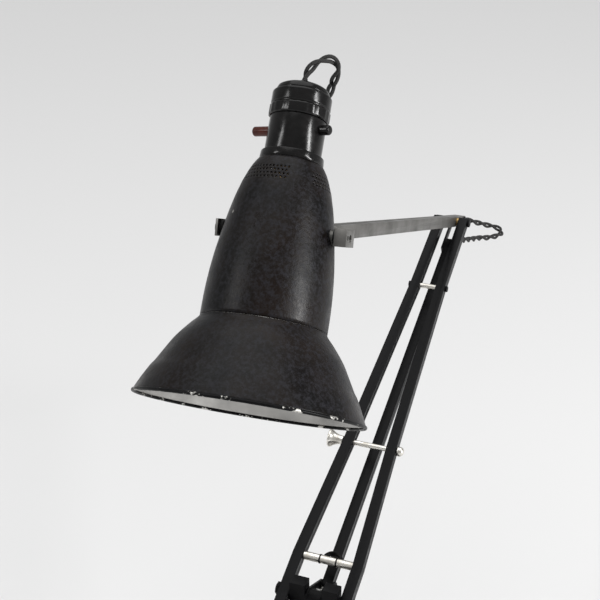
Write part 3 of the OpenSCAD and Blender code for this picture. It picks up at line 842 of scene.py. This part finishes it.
BULB_LINE = [(11, -28.5), (11.8, -27), (14, -22), (20, -8), (26.5, 6), (29.5, 18), (30, 26), (28.5, 36),
             (24, 46), (16, 53), (7, 56), (0, 56.5)]
KNURLS = 24
HOLDER_PARTS = {
    "shade_ring": ([(17.6, -50.7), (22, -50.7), (22.3, -52.5), (22, -56.6), (21, -57), (17.6, -57),
                    (17.6, -50.7)], 0.5, {}),
    "holder_body": ([(0, -57), (19.8, -57), (19.8, -82.2), (0, -82.2)], 0.5, {}),
    "holder_band": ([(0, -82.3), (20.6, -82.3), (21.4, -83.2), (21.4, -89.3), (20.8, -90.2), (0, -90.2)],
                    0.3, {"ribs": KNURLS, "rib_depth": 0.35}),
    "holder_sleeve": ([(0, -90.3), (20.4, -90.3), (20.4, -91.2), (20.9, -91.6), (20.9, -99.4),
                       (20.2, -100.5), (0, -100.5)], 0.5, {}),
    "holder_cap": ([(0, -100.6), (18.8, -100.6), (18.8, -102), (17.8, -104.6), (15, -106.3),
                    (10.4, -107), (0, -107)], 0.8, {}),
    "cord_grip": ([(0, -107), (7.5, -107), (7.5, -108.8), (6.4, -109.5), (0, -109.5)], 0.5, {}),
}


def lampholder():
    for node, (profile, radius, ribs) in HOLDER_PARTS.items():
        finished = turned(node + "_finished", profile, SHADE, BAKELITE, "shade", 96, radius=radius, **ribs)
        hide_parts(node)
    bulb = turned("bulb_glass_finished", BULB_LINE, SHADE, PEARL, "shade", 64, radius=3)
    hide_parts("bulb_glass")


SWITCH_S = -75  # the push bar's height on the shade's axis
BROWN_END = [(0, -35.5), (2.6, -35.5), (3.5, -34.5), (3.5, -5), (0, -5)]
BLACK_END = [(0, -5), (3.5, -5), (3.5, 26), (2.6, 27), (0, 27)]


def switch_ends():
    axis = unit(joints["switch_push"]["axis"])
    middle = SHADE[0] + SWITCH_S * MM * SHADE_Z
    side = unit(np.cross(axis, SHADE_Z))
    axes = (middle, side, np.cross(axis, side), axis)
    brown = turned("switch_end_brown", BROWN_END, axes, BROWN, "switch_bar", 32, radius=0.6)
    black = turned("switch_end_black", BLACK_END, axes, BAKELITE, "switch_bar", 32, radius=0.6)
    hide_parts("switch_bar")
    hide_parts("switch_bar")


THUMB_NUT_LINE = [(0, 0), (4.2, 0), (4.2, 3), (4.8, 6), (6.3, 9.5), (8.5, 12.5), (8.5, 14), (7.6, 14.6),
                  (5, 12.6), (0, 12)]
DOME_NUT_LINE = [(0, 0), (4.6, 0), (4.6, 2.4), (3.9, 4.6), (2.4, 5.8), (0, 6.3)]
MID_ROD = 0.159  # from the shoulder axle to the middle spacer, along the lower arm
THUMB_NUT_Y = 0.02625  # from the middle plane to the nut's face
DOME_NUT_Y = 0.02655


def plated_parts():
    mid = SHOULDER + MID_ROD * ARM_UP
    nut_axes = (mid - np.array([0, THUMB_NUT_Y, 0]), ARM_UP, ARM_OUT, np.array([0.0, -1, 0]))
    nut = turned("thumb_nut_finished", THUMB_NUT_LINE, nut_axes, NICKEL, "thumb_nut", 64, radius=1.2)
    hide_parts("thumb_nut")
    dome_axes = (mid + np.array([0, DOME_NUT_Y, 0]), ARM_OUT, ARM_UP, np.array([0.0, 1, 0]))
    dome = turned("dome_nut_finished", DOME_NUT_LINE, dome_axes, NICKEL, "lower_arm", 48, radius=0.8)
    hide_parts("dome_nut")


def finish_cad():
    """Gives each remaining CAD node its material, and a softened copy where its sharp edges would show."""
    body_of = {n: b for b, ns in frame["record"]["behaviour"]["bodies"].items() for n in ns}
    soft = {"base_weight": (BASE_BLACK, 1.4), "stem_foot": (BASE_BLACK, 0.9),
            "stem_cheek_left": (BAR_BLACK, 0.8), "stem_cheek_right": (BAR_BLACK, 0.8),
            "lower_bar_left": (BAR_BLACK, 0.7), "lower_bar_right": (BAR_BLACK, 0.7),
            "control_bar": (BAR_BLACK, 0.5), "upper_tube": (GREY_STEEL, 0.7),
            "yoke_strap": (GREY_STEEL, 0.35), "guide_saddle": (SHEET_BLACK, 0.35),
            "crank": (SHEET_BLACK, 0.5)}
    plain = {"base_felt": FELT, "swivel_bush": BRONZE, "cord_gland": RUBBER, "swivel_spindle": ZINC,
             "spring_anchors": ZINC, "shoulder_axle": SHEET_BLACK, "shoulder_nuts": SHEET_BLACK,
             "spacer_low": NICKEL, "spacer_mid": NICKEL, "spacer_top": NICKEL, "spacer_bolts": SHEET_BLACK,
             "spacer_rings": SHEET_BLACK, "tail_pins": ZINC, "elbow_axle": SHEET_BLACK, "crank_pins": ZINC,
             "crank_bush": BRONZE, "elbow_bush": BRONZE, "tail_pin": NICKEL, "tube_plug": GREY_STEEL,
             "yoke_stud": NICKEL, "fibre_washers": FIBRE, "pivot_knob": BAKELITE, "pivot_screw": ZINC,
             "pivot_bosses": GREY_STEEL, "bulb_cap": BRONZE, "plug_pins": BRONZE, "plug_body": RUBBER}
    for n, (mat, edge) in soft.items():
        softened(n, mat, body_of[n], edge)
    for n, mat in plain.items():
        nodes[n].data.materials.clear()
        nodes[n].data.materials.append(mat)


add_camera()
all_cords()
add_studio()
all_springs()
shade_upper()
shade_lower()
lampholder()
switch_ends()
plated_parts()
finish_cad()
